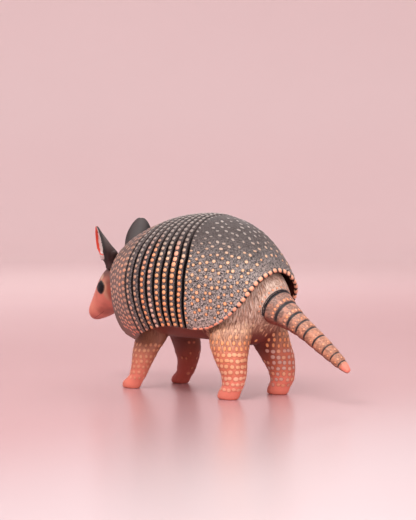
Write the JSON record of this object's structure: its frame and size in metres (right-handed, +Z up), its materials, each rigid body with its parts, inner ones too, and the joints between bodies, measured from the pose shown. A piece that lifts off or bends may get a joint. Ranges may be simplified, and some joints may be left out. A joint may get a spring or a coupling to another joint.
{
  "type": "carved wooden armadillo figure",
  "caption": "Carved and painted wooden armadillo standing on its feet, with a hollow banded shell, plug-in ears and a plug-in tapering tail.",
  "frame": {"origin": "on the floor under the middle of the figure's overall width and length", "axes": "+Z up, -Y the way the head points, +Y towards the tail, +X the animal's left side"},
  "size_m": [0.0638, 0.1618, 0.0778],
  "materials": {
    "shell_paint": "satin",
    "body_paint": "satin",
    "leg_paint": "satin",
    "head_paint": "satin",
    "ear_paint": "satin",
    "tail_paint": "satin",
    "bare_wood": "matte"
  },
  "bodies": {
    "figure": {"torso": "body_paint", "carapace": "shell_paint", "head": "head_paint", "leg_front_left": "leg_paint", "leg_front_right": "leg_paint", "leg_hind_left": "leg_paint", "leg_hind_right": "leg_paint", "neck_dowel": "bare_wood", "leg_dowel_front_left": "bare_wood", "leg_dowel_front_right": "bare_wood", "leg_dowel_hind_left": "bare_wood", "leg_dowel_hind_right": "bare_wood", "shell_pin_front": "bare_wood", "shell_pin_rear": "bare_wood"},
    "ear_peg_left": {"ear_dowel_left": "bare_wood"},
    "ear_left": {"ear_left": "ear_paint"},
    "ear_peg_right": {"ear_dowel_right": "bare_wood"},
    "ear_right": {"ear_right": "ear_paint"},
    "tail_peg": {"tail_dowel": "bare_wood"},
    "tail": {"tail": "tail_paint"}
  },
  "joints": [
    {"name": "ear_left_turn", "type": "hinge", "parent": "figure", "child": "ear_peg_left", "pos_m": [0.0066, -0.05955, 0.0526], "axis": [0.208, -0.065, 0.976], "range_deg": [-20, 20]},
    {"name": "ear_left_pull", "type": "slide", "parent": "ear_peg_left", "child": "ear_left", "axis": [0.208, -0.065, 0.976], "range_m": [0, 0.0055]},
    {"name": "ear_right_turn", "type": "hinge", "parent": "figure", "child": "ear_peg_right", "pos_m": [-0.0066, -0.05955, 0.0526], "axis": [-0.208, -0.065, 0.976], "range_deg": [-20, 20]},
    {"name": "ear_right_pull", "type": "slide", "parent": "ear_peg_right", "child": "ear_right", "axis": [-0.208, -0.065, 0.976], "range_m": [0, 0.0055]},
    {"name": "tail_turn", "type": "hinge", "parent": "figure", "child": "tail_peg", "pos_m": [0, 0.03915, 0.039], "axis": [0, 0.8988, -0.4384], "range_deg": [-25, 25]},
    {"name": "tail_pull", "type": "slide", "parent": "tail_peg", "child": "tail", "axis": [0, 0.8988, -0.4384], "range_m": [0, 0.015]}
  ]
}
